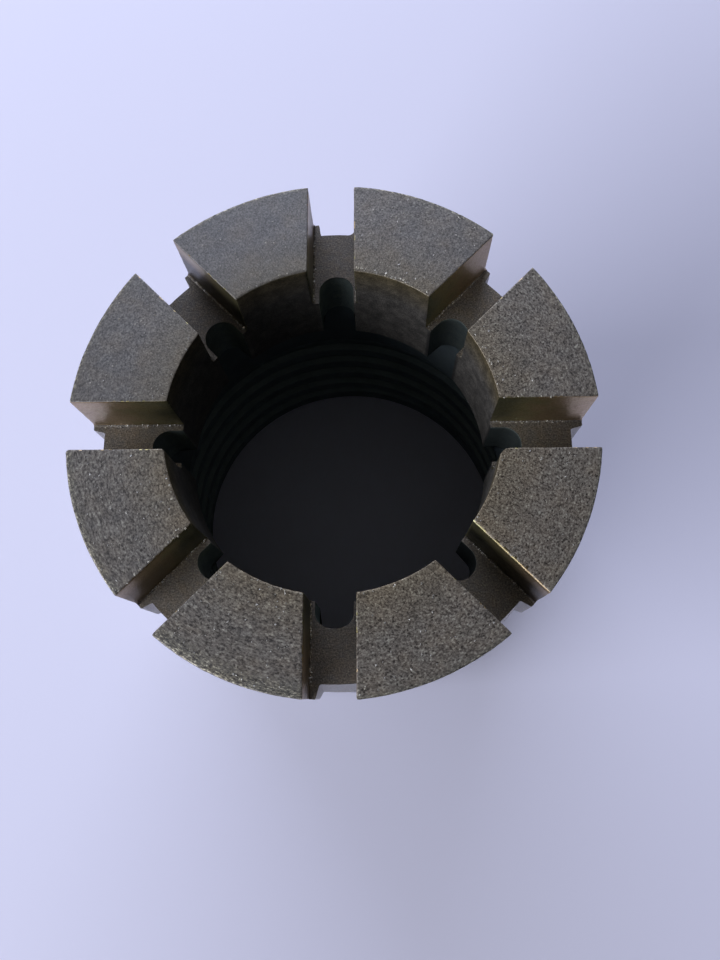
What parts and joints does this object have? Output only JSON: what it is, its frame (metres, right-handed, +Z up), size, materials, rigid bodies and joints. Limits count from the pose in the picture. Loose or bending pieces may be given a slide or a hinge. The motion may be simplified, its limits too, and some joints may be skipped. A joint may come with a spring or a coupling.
{
  "type": "diamond core bit",
  "caption": "Impregnated diamond core bit: a slotted annular crown of sintered matrix moulded on a turned steel tube with a threaded box at its back end.",
  "frame": {"origin": "centre of the back end's flat face, on the bit's axis", "axes": "+Z up the bit's axis, from the back end to the kerf face; waterways lie on the X and Y axes and half-way between them"},
  "size_m": [0.075, 0.075, 0.08],
  "materials": {
    "turned_steel": "fine turning marks, lightly oiled",
    "diamond_matrix": "sintered, granular, dressed on the kerf face"
  },
  "bodies": {
    "root": {"steel_blank": "turned_steel", "matrix_crown": "diamond_matrix"}
  },
  "joints": []
}
